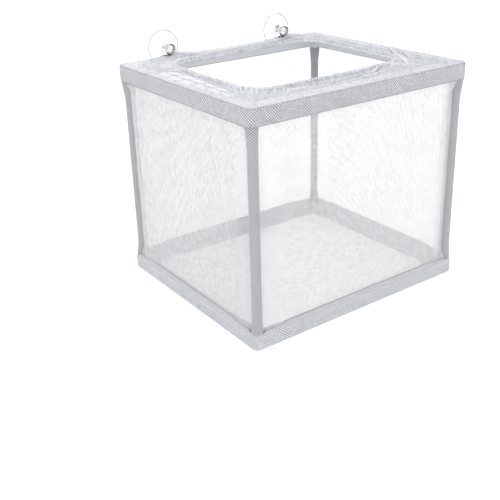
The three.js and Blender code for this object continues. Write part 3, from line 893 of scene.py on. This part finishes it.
MOUTH = Outline(
    hem_high.x - 2 * MM,
    (hem_high.y - hem_low.y) / 2 - 2 * MM,
    [15 * MM, 20 * MM, 15 * MM, 20 * MM],
    0.6 * MM,
    44,
    shift=MOUTH_SHIFT,
)
BACK_RIGHT, BACK_LEFT, NEAR_LEFT, NEAR_RIGHT = range(4)
LEFT, RIGHT = 1, 3
CORNER_REACH = 14 * MM
RIM_DROP = 1.0 * MM
RIM_LIFT = 0.1 * MM
HEM_SIDES = 28
TAPE_ROWS = 17
NET_ROWS = 42


def near_corner(reach, corners=(0, 1, 2, 3)):
    """1 at some of the mouth's corners, and 0 further along a side than reach."""
    gap = MOUTH.spans()[1] - MOUTH.radius - np.abs(MOUTH.along)
    nearest = np.where(MOUTH.along >= 0, MOUTH.side, (MOUTH.side - 1) % 4)
    return np.where(MOUTH.turn > 0, 1, 1 - smooth(0, reach, gap)) * np.isin(nearest, corners)


def on_side(*sides):
    """1 along some sides of the mouth, and 0 round its corners."""
    return np.isin(MOUTH.side, sides) * (MOUTH.turn == 0) * (1 - near_corner(CORNER_REACH))


MOUTH.draw_in = 2.2 * MM * near_corner(26 * MM, (LEFT, RIGHT))
MOUTH_RUN, MOUTH_AROUND = MOUTH.length()
LEFT_CORNER = near_corner(CORNER_REACH, (LEFT,))[:, None]

# The rim hangs lower along the far left side
LOW_RIM = on_side(BACK_LEFT)[:, None] + LEFT_CORNER * 0.5


def round_gap(run, place):
    """Distance round the mouth from a place, the short way."""
    return (run - place + MOUTH_AROUND / 2) % MOUTH_AROUND - MOUTH_AROUND / 2


def gathers(seed):
    """Small folds that the elastic draws round the mouth, closest at its corners."""
    rng = np.random.default_rng(seed)
    closeness = near_corner(16 * MM)
    places = []
    at = 0.0
    while at < MOUTH_AROUND:
        places.append(at)
        here = np.interp(at, MOUTH_RUN, closeness)
        at += rng.uniform(1.6, 3.0) * MM * (2.1 - here)
    many = len(places)
    here = np.interp(places, MOUTH_RUN, closeness)
    return {
        "place": np.array(places),
        "width": rng.uniform(0.4, 0.75, many) * MM,
        "height": rng.uniform(0.3, 0.9, many) * MM * (0.4 + 0.6 * here),
        "length": rng.uniform(3, 6, many) * MM * (1 + 1.4 * here),
        "slant": rng.uniform(-0.4, 0.4, many),
    }


FOLDS = gathers(5)


def gather_height(run, out):
    """Height of the gathers at a distance round the mouth and a distance out from it."""
    total = np.zeros(np.broadcast(run, out).shape)
    for place, width, height, length, slant in zip(*FOLDS.values()):
        spread = width * (1 + 0.6 * out / length)
        total += height * hump(round_gap(run, place) - slant * out, spread) * hump(out, length)
    return total


class FlapPlan:
    """The flap's grid, from its outer edge over the casing seam to the mouth."""

    def __init__(self):
        mouth = MOUTH.place([0.0])[:, 0]
        edge = MOUTH.match(HALF_X - 0.9 * MM, HALF_Y - 0.9 * MM, 3.3 * MM)
        seam = MOUTH.match(HALF_X - CASING, HALF_Y - CASING, 9 * MM)
        outer = np.linspace(0, 1, TAPE_ROWS)[None, :-1, None]
        inner = np.linspace(0, 1, NET_ROWS)[None, :, None]
        over_tape = edge[:, None] * (1 - outer) + seam[:, None] * outer
        beyond = seam[:, None] * (1 - inner) + mouth[:, None] * inner
        self.flat = np.concatenate([over_tape, beyond], 1)
        self.share = np.concatenate([0 * outer, inner], 1)[..., 0] + 0 * self.flat[..., 0]
        self.out = np.linalg.norm(self.flat - mouth[:, None], axis=-1)
        self.from_seam = np.linalg.norm(self.flat - seam[:, None], axis=-1)
        self.from_edge = np.linalg.norm(self.flat - edge[:, None], axis=-1)
        self.run = MOUTH_RUN[:, None] + 0 * self.out
        self.inside = self.share > 0
        self.loose = smooth(0, 1.2 * MM, self.from_seam) * self.inside


def bulges(plan):
    """Broad puckers against the casing seam on the near left side, each a slanted patch."""
    total = 0
    across = (plan.from_seam - 3.6 * MM) / (2.9 * MM)
    for k in range(-1, 5):
        y = (9.5 - 12.8 * k) * MM
        along = (plan.flat[..., 1] - y + 0.55 * (plan.from_seam - 3.6 * MM)) / (5.0 * MM)
        total = total + np.exp(-along ** 4 - across ** 4)
    return total * on_side(NEAR_LEFT)[:, None]


def long_folds(plan, seed):
    """Folds that run along a side, each rising and dying away."""
    rng = np.random.default_rng(seed)
    total = 0
    for _ in range(30):
        gap = round_gap(plan.run, rng.uniform(0, MOUTH_AROUND))
        length = rng.uniform(7, 20) * MM
        middle = rng.uniform(2.0, 13.0) * MM + rng.uniform(-0.16, 0.16) * gap
        width = rng.uniform(0.45, 1.0) * MM
        height = rng.uniform(0.4, 1.0) * rng.choice((-0.7, 1.0))
        total = total + height * hump(gap, length) * hump(plan.out - middle, width)
    sides = on_side(NEAR_RIGHT, BACK_LEFT) + 0.6 * on_side(BACK_RIGHT)
    return total * sides[:, None]


CREASES = (((75, -7), (48, -51)), ((77, -13), (62, -41)), ((19, -53), (42, -40)))


def creases(plan):
    """A few sharp folds on the near right, each raised beside its line and sunk in it, with painted light
    on the raised side and painted shade in the line.
    """
    total = 0
    for start, end in CREASES:
        start = np.array(start) * MM
        end = np.array(end) * MM
        length = np.linalg.norm(end - start)
        aim = (end - start) / length
        along = (plan.flat - start) @ aim
        beside = (plan.flat - start) @ np.array([-aim[1], aim[0]])
        held = smooth(0, 6 * MM, along) * smooth(0, 6 * MM, length - along)
        total = total + held * (0.9 * hump(beside - 1.1 * MM, 0.9 * MM) - hump(beside, 0.5 * MM))
    return total


def flap_folds(plan):
    """The flap's folds: broad puckers, folds along the sides, gathers in metres, sharp creases,
    and a fine crumple."""
    lengthwise = long_folds(plan, 13) * plan.loose
    gathered = gather_height(plan.run, plan.out) * plan.loose
    sharp = creases(plan) * smooth(0, 2 * MM, plan.from_edge)
    fine = wander(83, 2.4 * MM, plan.flat[..., 0], plan.flat[..., 1])
    finer = wander(84, 1.3 * MM, plan.flat[..., 0], plan.flat[..., 1])
    crumple = (fine + 0.7 * finer) * (0.3 + 0.7 * plan.loose)
    return bulges(plan), lengthwise, gathered, sharp, crumple


def flap_height(plan, folds, rolled):
    """Height of the flap: level over the tape, slack inside it, and down to the hem."""
    broad, lengthwise, gathered, sharp, crumple = folds
    groove = hump(plan.from_seam, 0.45 * MM) * 0.5 + rolled * (0.8 - 0.5 * LOW_RIM)
    base = TOP - 0.2 * MM - 0.35 * MM * hump(plan.from_edge, 0.6 * MM)
    base = base - 0.6 * MM * np.sin(plan.share * math.pi)
    base = base + (HEM_Z + 0.75 * MM - TOP) * smooth(0.6, 1.0, plan.share)
    base = base - RIM_DROP * LOW_RIM * smooth(0.1, 0.9, plan.share)
    relief = MM * (0.7 * broad + 0.7 * lengthwise + 0.45 * sharp + 0.1 * crumple) + gathered
    z = base - groove * MM + relief * smooth(0, 3 * MM, plan.from_edge)
    return z + clip_lift(plan.flat[..., 0], plan.flat[..., 1])


def flap_marks(plan, folds, rolled):
    """How pale the folds are, partly where the net lies doubled and partly as painted light on their
    crests and painted shade in their hollows, how dark the grooves are, as painted shade, and how far
    the tape underneath evens out the cloth and pales it, partly as painted light from above."""
    broad, lengthwise, gathered, sharp, crumple = folds
    doubled_net_and_painted_light = 0.38 + 0.75 * broad + 0.6 * lengthwise + 0.55 * gathered / MM + 0.6 * sharp + 0.12 * crumple
    # Painted light and shade: lighter round the mouth's corners, most at the left one, and darker where the
    # rim hangs low, in shade.
    doubled_net_and_painted_light = doubled_net_and_painted_light + 0.08 * near_corner(CORNER_REACH)[:, None] + 0.18 * LEFT_CORNER
    doubled_net_and_painted_light = doubled_net_and_painted_light - 0.12 * LOW_RIM * smooth(0.0, 0.5, plan.share)
    shade = hump(plan.from_seam, 0.4 * MM) * 0.5 + rolled * (0.42 - 0.34 * LOW_RIM)
    # Pale and even over the tape, partly the tape under the net and partly painted light from above, less
    # so on the creases.
    tape_lining_and_painted_light = (1 - smooth(0.1 * MM, 1.0 * MM, plan.from_seam) * plan.inside) * 0.8
    tape_lining_and_painted_light = tape_lining_and_painted_light * (1 - 0.5 * np.clip(np.abs(sharp), 0, 1))
    return {"doubled_net_and_painted_light": doubled_net_and_painted_light, "shade": shade, "tape_lining_and_painted_light": tape_lining_and_painted_light}


def flap():
    """Net drawn in from the top fold to the mouth: flat over the casing, puckered inside it."""
    plan = FlapPlan()
    folds = flap_folds(plan)
    rolled = hump(np.abs(plan.out - HEM_RADIUS - 0.9 * MM), 0.4 * MM) * plan.inside
    z = flap_height(plan, folds, rolled)
    marks = flap_marks(plan, folds, rolled)
    faces = ring_faces(*plan.out.shape, close_rows=True)
    scale = whole_turns(MOUTH_AROUND, FLAP_WEAVE[0])
    uv = np.stack([plan.run * scale / MM, plan.out / MM], -1).reshape(-1, 2)
    place = plan.flat.reshape(-1, 2)
    for x in (-CLIP_X, CLIP_X):
        place, faces = open_slit(place, faces, (x, SLIT_Y), SLIT_HALF, np.ones(len(place), bool))
    points = np.concatenate([place, z.reshape(-1, 1)], 1)
    values = [np.clip(mark, 0, 1).ravel() for mark in marks.values()]
    points, faces, uv, *values = drop_loose(points, faces, uv, *values)
    marks = dict(zip(marks, values))
    piece = make_piece("top_flap_cloth", points, faces, FLAP_CLOTH, uv, MOUTH_AROUND * scale / MM, marks)
    thicken(piece, FLAP_NET)
    fit(piece, "flap_net", "top_flap")


def mouth_tube(name, radius, sides, z, material, marks=None, scale=1.0):
    """A tube that follows the mouth. radius is one number for each station, or for each side
    of each station."""
    angle = np.linspace(0, TURN, sides, endpoint=False)[None, :]
    flat = MOUTH.place(-radius * np.cos(angle))
    points = np.concatenate([flat, (z + radius * np.sin(angle))[..., None]], -1)
    faces = ring_faces(len(MOUTH_RUN), sides, close_rows=True, close_columns=True)
    uv = np.stack(np.broadcast_arrays(MOUTH_RUN[:, None] * scale / MM, angle * 1.5), -1)
    around = MOUTH_AROUND * scale / MM
    return make_piece(name, points.reshape(-1, 3), faces, material, uv.reshape(-1, 2), around, marks)


def hem():
    """The rolled edge round the mouth, bunched up by the elastic inside it."""
    run = MOUTH_RUN[:, None]
    angle = np.linspace(0, TURN, HEM_SIDES, endpoint=False)[None, :]
    bunch = gather_height(run, 0.0) / MM
    uneven = wander(91, 3.2 * MM, run + 0 * angle, np.sin(angle) * HEM_RADIUS)
    loose = on_side(BACK_RIGHT, BACK_LEFT)[:, None]
    radius = HEM_RADIUS + 0.3 * MM * bunch + (0.1 + 0.2 * loose) * MM * uneven
    # The hem is painted pale where it bunches, partly for the doubled net and partly as painted light,
    # darker where the rim hangs low, as painted shade, and darker in a thin line along its top inner side,
    # towards the opening.
    doubled_net_and_painted_light = 0.6 + 0.3 * bunch + 0.1 * uneven - 0.15 * LOW_RIM
    dark_edge_line = hump(angle - 2.3, 0.5) * (0.4 + 0.2 * np.sign(uneven)) * (1 - 0.5 * LOW_RIM)
    marks = {
        "doubled_net_and_painted_light": np.clip(doubled_net_and_painted_light, 0, 1) + 0 * angle,
        "shade": dark_edge_line + 0 * run,
        "tape_lining_and_painted_light": 0 * dark_edge_line,
    }
    z = HEM_Z + RIM_LIFT - RIM_DROP * LOW_RIM
    scale = whole_turns(MOUTH_AROUND, FLAP_WEAVE[0])
    piece = mouth_tube("mouth_hem_cloth", radius, HEM_SIDES, z, FLAP_CLOTH, marks, scale)
    fit(piece, "hem_cloth", "mouth_hem")


def elastic():
    """Round elastic cord in the hem."""
    radius = 0.7 * MM + 0 * MOUTH_RUN[:, None]
    z = HEM_Z + RIM_LIFT - RIM_DROP * LOW_RIM
    piece = mouth_tube("mouth_elastic_cord", radius, 12, z, STITCHING)
    fit(piece, "elastic", "mouth_elastic")


flap()
hem()
elastic()


# Frame

def turned(name, outline, sides, centre, aim, material, thick_and_reflection=None):
    """A solid turned about a line through centre along aim. outline is (radius, distance), and the
    last argument marks how grey a clear moulding is painted at each row, for its depth and as painted
    reflection."""
    aim = Vector(aim).normalized()
    side = aim.orthogonal().normalized()
    up = aim.cross(side)
    angle = np.linspace(0, TURN, sides, endpoint=False)[None, :, None]
    profile = np.array(outline)
    ring = np.cos(angle) * np.array(side) + np.sin(angle) * np.array(up)
    radius, reach = (profile[:, k, None, None] for k in (0, 1))
    points = np.array(centre) + radius * ring + reach * np.array(aim)
    faces = ring_faces(len(profile), sides, close_columns=True)[:, ::-1].tolist()
    first = list(range(sides))
    last = [(len(profile) - 1) * sides + k for k in range(sides)]
    faces = faces + [first, last[::-1]]
    marks = None if thick_and_reflection is None else {"thick_and_reflection": np.repeat(thick_and_reflection, sides)}
    return make_piece(name, points.reshape(-1, 3), faces, material, marks=marks)


# A socket's section in millimetres, as (radius, reach), from its root over its mouth into its bore
SOCKET = (
    (1.2, -1), (3.1, 0), (2.95, 5), (2.5, 12.7), (2.42, 13.0), (2.16, 13.0), (2.16, 6.0), (0.3, 5.6)
)
HUB_RADIUS = 3.3 * MM
CONNECTOR_SIDES = 24


def connector(name, side_x, side_y, axis, inwards):
    """A three-way corner: a round hub with a tapered socket along each of its rods."""
    centre = Vector((side_x * FRAME_X, side_y * FRAME_Y, axis))
    slopes = np.radians(np.linspace(-86, 86, 15))
    hub = [(HUB_RADIUS * math.cos(slope), HUB_RADIUS * math.sin(slope)) for slope in slopes]
    parts = [turned(name, hub, CONNECTOR_SIDES, centre, (0, 0, 1), CONNECTOR_PLASTIC)]
    socket = [(radius * MM, reach * MM) for radius, reach in SOCKET]
    for aim in ((-side_x, 0, 0), (0, -side_y, 0), (0, 0, inwards)):
        parts.append(turned(name + "_arm", socket, CONNECTOR_SIDES, centre, aim, CONNECTOR_PLASTIC))
    piece = join_solids(name + "_moulding", parts, CONNECTOR_PLASTIC)
    fit(piece, "connector_plastic", name)


for level, axis, inwards in (("bottom", BOTTOM_AXIS, 1), ("top", TOP_AXIS, -1)):
    for end, side_y in ENDS:
        for side, side_x in SIDES:
            connector(f"connector_{level}_{end}_{side}", side_x, side_y, axis, inwards)

for name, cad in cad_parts.items():
    if name.startswith("rod_"):
        cad.data.materials.clear()
        cad.data.materials.append(ROD_PLASTIC)


# Clips and suction cups

def swept_bar(name, path, out, half_out, half_wide, wide_aim, round_over, closed):
    """A bar of rounded rectangular section along a path. out points away from its middle."""
    corner = []
    for k, (u, v) in enumerate(((1, 1), (-1, 1), (-1, -1), (1, -1))):
        for degrees in (0, 30, 60, 90):
            angle = math.radians(degrees + 90 * k)
            across = u * (half_out - round_over) + round_over * math.cos(angle)
            wide = v * (half_wide - round_over) + round_over * math.sin(angle)
            corner.append((across, wide))
    corner = np.array(corner)
    outwards = corner[None, :, :1] * out[:, None]
    sideways = corner[None, :, 1:] * np.array(wide_aim)
    points = path[:, None] + outwards + sideways
    faces = ring_faces(len(path), len(corner), close_rows=closed, close_columns=True).tolist()
    if not closed:
        first = list(range(len(corner)))
        last = [(len(path) - 1) * len(corner) + k for k in range(len(corner))]
        faces = faces + [first[::-1], last]
    return make_piece(name, points.reshape(-1, 3), faces, CLIP_PLASTIC)


CLIP_WALL = 0.9 * MM
CLIP_BORE = ROD_RADIUS + 0.3 * MM
SNAP_HALF = 2.5 * MM
EYE_RADIUS = 2.75 * MM
STEM_HALF = 1.5 * MM
PLATE_HALF = 0.9 * MM
EDGE = 0.3 * MM


def clip(side, x):
    """Snap ring on the top rod, a stem up through the cover, and an eye for the cup's neck."""
    ring_angle = np.radians(np.linspace(-30, 210, 41))
    aim = np.stack([0 * ring_angle, np.cos(ring_angle), np.sin(ring_angle)], -1)
    centre = np.array([x, FRAME_Y, TOP_AXIS])
    path = centre + (CLIP_BORE + CLIP_WALL / 2) * aim
    snap = swept_bar("snap", path, aim, CLIP_WALL / 2, SNAP_HALF, (1, 0, 0), 0.25 * MM, False)
    eye_angle = np.linspace(0, TURN, 48, endpoint=False)
    aim = np.stack([np.cos(eye_angle), 0 * eye_angle, np.sin(eye_angle)], -1)
    path = np.array([x, FRAME_Y, CUP_Z]) + EYE_RADIUS * aim
    eye = swept_bar("eye", path, aim, CLIP_WALL / 2, PLATE_HALF, (0, 1, 0), EDGE, True)
    low = TOP_AXIS + CLIP_BORE + 0.3 * MM
    high = CUP_Z - 2.6 * MM
    path = np.array([[x, FRAME_Y, low + (high - low) * share] for share in np.linspace(0, 1, 6)])
    aim = np.tile([1.0, 0, 0], (6, 1))
    stem = swept_bar("stem", path, aim, STEM_HALF, PLATE_HALF, (0, 1, 0), EDGE, False)
    piece = join_solids(f"clip_{side}_moulding", [snap, stem, eye], CLIP_PLASTIC)
    fit(piece, "clip_plastic", f"clip_{side}", body=f"{side}_clip")


# Sizes of the cup in millimetres, distances measured from the glass
CUP_FOOT = 3.6
HEAD_RADIUS = 3.3
HEAD_REACH = 10.3
HEAD_RISE = 1.8
CUP_SIDES = 96


def suction_cup(side, x):
    """Soft cup with a dished back, a neck and a mushroom head."""
    centre = Vector((x, GLASS_Y, CUP_Z))
    rim = CUP_RADIUS / MM
    hollow = [(rim * 0.945 * s, 1.4 * (1 - s ** 2)) for s in np.linspace(0.02, 1, 14)]
    lip = [(rim - 0.5, 0.0), (rim - 0.15, 0.12), (rim, 0.5), (rim - 0.1, 0.9), (rim - 0.45, 1.15)]
    slope = rim - 1.0 - CUP_FOOT
    back = [(CUP_FOOT + slope * (1 - s), 0.8 + 2.2 * s ** 2.3) for s in np.linspace(0.02, 1, 14)]
    neck = [(3.45, 3.4), (3.1, 4.3), (2.5, 5.4), (2.05, 6.1), (1.95, 7.0), (1.95, 8.3), (2.15, 8.55)]
    head = []
    for degrees in np.linspace(-58, 87, 18):
        angle = math.radians(degrees)
        head.append((HEAD_RADIUS * math.cos(angle), HEAD_REACH + HEAD_RISE * math.sin(angle)))
    outline = [(r * MM, reach * MM) for part in (hollow, lip, back, neck, head) for r, reach in part]
    # The lip, neck and head are painted greyer, partly for their depth and partly as a painted reflection
    # of dark surroundings.
    thick_and_reflection = []
    for part, mark in ((hollow, 0.0), (lip, 1.0), (back, 0.0), (neck, 0.4), (head, 0.8)):
        thick_and_reflection = thick_and_reflection + [mark] * len(part)
    piece = turned(f"suction_cup_{side}_vinyl", outline, CUP_SIDES, centre, (0, -1, 0), VINYL, thick_and_reflection)
    fit(piece, "clear_vinyl", f"suction_cup_{side}", body=f"{side}_cup")


for side, x in (("left", -CLIP_X), ("right", CLIP_X)):
    clip(side, x)
    suction_cup(side, x)


# Stage, light and camera

AMBIENT = 0.86
STAGE_HALF = 3.0
STAGE_DROP = 0.4 * MM


def seen_by(tree, *rays):
    """1 for rays of these kinds, and 0 for the others."""
    kinds = node(tree, "ShaderNodeLightPath", out=None).outputs
    seen = kinds[rays[0]]
    for ray in rays[1:]:
        seen = node(tree, "ShaderNodeMath", {0: seen, 1: kinds[ray]}, operation="MAXIMUM")
    return seen


def stage_material():
    """Seamless white paper. It shows white to the camera and keeps the shadow."""
    material, tree = new_material("white_paper_sweep")
    paper = node(tree, "ShaderNodeBsdfDiffuse", {"Color": "#f4f4f4"})
    seen = seen_by(tree, "Is Camera Ray", "Is Glossy Ray", "Is Transmission Ray")
    lift = node(tree, "ShaderNodeMath", {0: seen, 1: 0.17, 2: 0.33}, operation="MULTIPLY_ADD")
    glow = node(tree, "ShaderNodeEmission", {"Color": (1, 1, 1, 1), "Strength": lift})
    both = node(tree, "ShaderNodeAddShader", {0: paper, 1: glow})
    node(tree, "ShaderNodeOutputMaterial", {"Surface": both}, out=None)
    return material


def stage():
    """A paper floor that sweeps far past the view, under an even white sky."""
    corners = ((-1, -1), (1, -1), (1, 1), (-1, 1))
    points = [(STAGE_HALF * u, STAGE_HALF * v, -STAGE_DROP) for u, v in corners]
    floor = make_piece("paper_floor", points, [[0, 1, 2, 3]], stage_material())
    world = bpy.data.worlds.new("studio")
    bpy.context.scene.world = world
    world.use_nodes = True
    tree = world.node_tree
    tree.nodes.clear()
    seen = seen_by(tree, "Is Camera Ray", "Is Transmission Ray")
    settings = {0: seen, 1: 1 - AMBIENT, 2: AMBIENT}
    strength = node(tree, "ShaderNodeMath", settings, operation="MULTIPLY_ADD")
    sky = node(tree, "ShaderNodeBackground", {"Color": (1, 1, 1, 1), "Strength": strength})
    node(tree, "ShaderNodeOutputWorld", {"Surface": sky}, out=None)


def flag(name, place, half_wide, half_tall):
    """A black card beside the set, which only clear and shiny things show."""
    material, tree = new_material(name + "_card")
    shader = node(tree, "ShaderNodeBsdfDiffuse", {"Color": "#101010"})
    node(tree, "ShaderNodeOutputMaterial", {"Surface": shader}, out=None)
    place = np.array(place)
    beside = np.array([-place[1], place[0], 0]) / math.hypot(place[0], place[1])
    corners = [(-1, -1), (1, -1), (1, 1), (-1, 1)]
    points = [place + beside * u * half_wide + np.array([0, 0, v * half_tall]) for u, v in corners]
    card = make_piece(name, points, [[0, 1, 2, 3]], material)
    card.visible_camera = False
    card.visible_diffuse = False
    card.visible_shadow = False


def lamp(name, place, target, size, power):
    """A square softbox that points at a target."""
    data = bpy.data.lights.new(name, "AREA")
    data.shape = "SQUARE"
    data.size = size
    data.energy = power
    made = bpy.data.objects.new(name, data)
    bpy.context.scene.collection.objects.link(made)
    made.location = place
    made.rotation_mode = "QUATERNION"
    made.rotation_quaternion = (Vector(target) - Vector(place)).to_track_quat("-Z", "Y")


MIDDLE = (0, 0, TOP / 2)
stage()
flag("right_flag", (0.62, -0.2, 0.25), 0.28, 0.3)
flag("left_flag", (-0.45, 0.42, 0.2), 0.12, 0.15)
lamp("key_softbox", (-0.95, -0.15, 0.75), MIDDLE, 0.45, 1.9)
lamp("fill_softbox", (0.4, -0.85, 0.2), MIDDLE, 0.6, 1.1)
lamp("back_softbox", (0.5, 0.95, 0.45), MIDDLE, 0.5, 1.6)

CAMERA_AZIMUTH = math.radians(-35.10)
CAMERA_ELEVATION = math.radians(23.25)
CAMERA_ROLL = math.radians(-1.75)
CAMERA_PLACE = Vector((-294.83, -373.68, 239.95)) * MM
SENSOR_WIDTH = 36.0
LENS = 56.86
VIEW_SHIFT = -0.06


def camera():
    """The camera that took the photograph, as fitted to it."""
    data = bpy.data.cameras.new("photo_camera")
    data.sensor_width = SENSOR_WIDTH
    data.lens = LENS
    data.shift_y = VIEW_SHIFT
    data.clip_start = 0.01
    made = bpy.data.objects.new("photo_camera", data)
    bpy.context.scene.collection.objects.link(made)
    level = math.cos(CAMERA_ELEVATION)
    back = Vector(
        (
            math.sin(CAMERA_AZIMUTH) * level,
            -math.cos(CAMERA_AZIMUTH) * level,
            math.sin(CAMERA_ELEVATION),
        )
    )
    right = (-back).cross(Vector((0, 0, 1))).normalized()
    up = right.cross(-back)
    tilted = math.cos(CAMERA_ROLL) * right + math.sin(CAMERA_ROLL) * up
    raised = -math.sin(CAMERA_ROLL) * right + math.cos(CAMERA_ROLL) * up
    axes = Matrix((tilted, raised, back)).transposed()
    made.matrix_world = Matrix.Translation(CAMERA_PLACE) @ axes.to_4x4()
    bpy.context.scene.camera = made


camera()
bpy.context.scene.view_settings.view_transform = "Standard"

bpy.context.view_layer.update()
